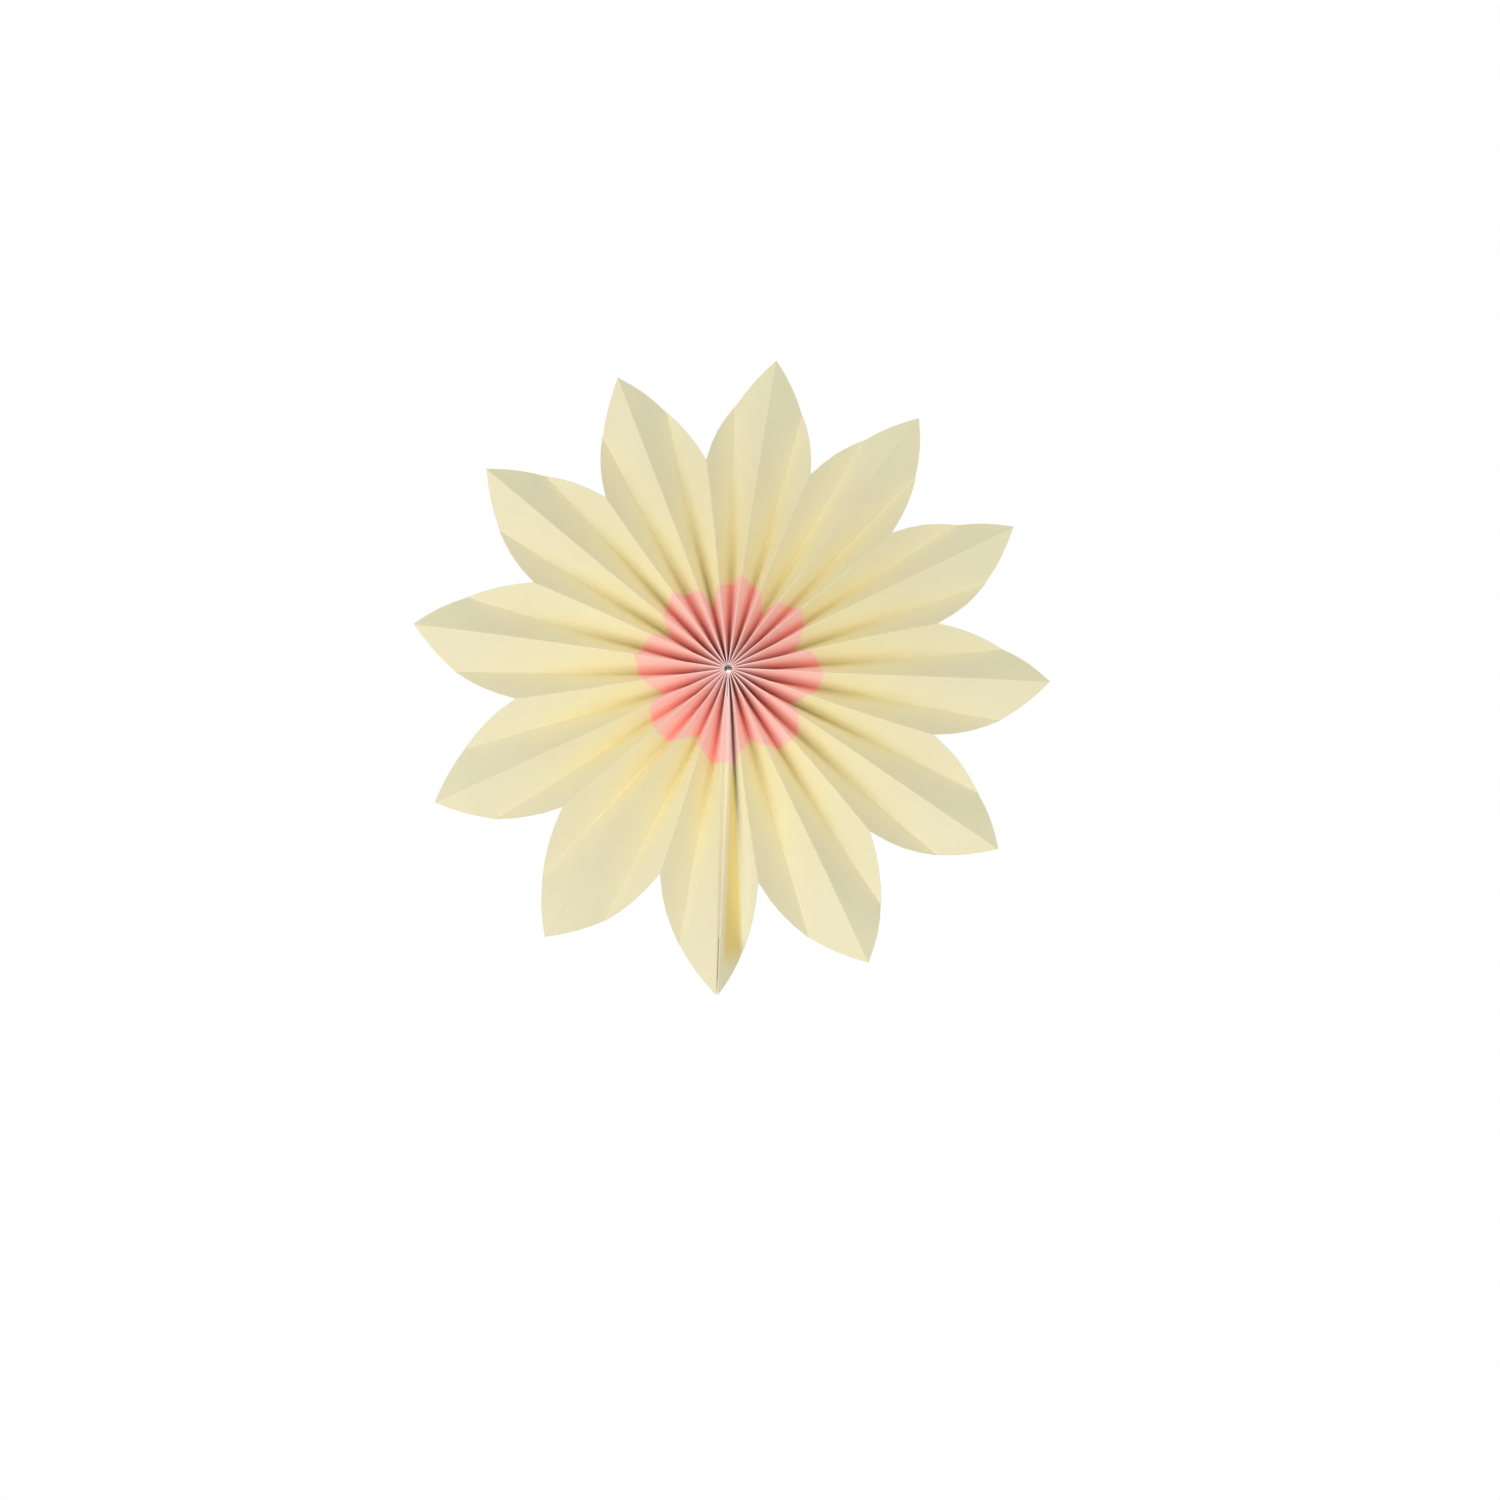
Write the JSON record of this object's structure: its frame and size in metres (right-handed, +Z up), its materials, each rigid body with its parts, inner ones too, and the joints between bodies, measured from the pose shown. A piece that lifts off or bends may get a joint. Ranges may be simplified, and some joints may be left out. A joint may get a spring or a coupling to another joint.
{
  "type": "paper fan rosette",
  "caption": "Round party decoration pleated from one strip of paper into a flower of pointed petals, tied at the hub and taped along one petal.",
  "frame": {"origin": "middle of the hub, on the axis of the open eye and halfway through the pleats' depth", "axes": "-Y out of the front towards the viewer, along the eye's axis; +Z up, with the taped seam at the bottom"},
  "size_m": [0.348, 0.0262, 0.3479],
  "materials": {
    "printed_paper": "matte pale yellow paper with a pink printed centre",
    "adhesive_tape": "matte white double-sided tape",
    "thread": "white cotton thread"
  },
  "bodies": {
    "root": {"pleated_strip": "printed_paper", "seam_tape": "adhesive_tape", "hub_thread": "thread"}
  },
  "joints": []
}
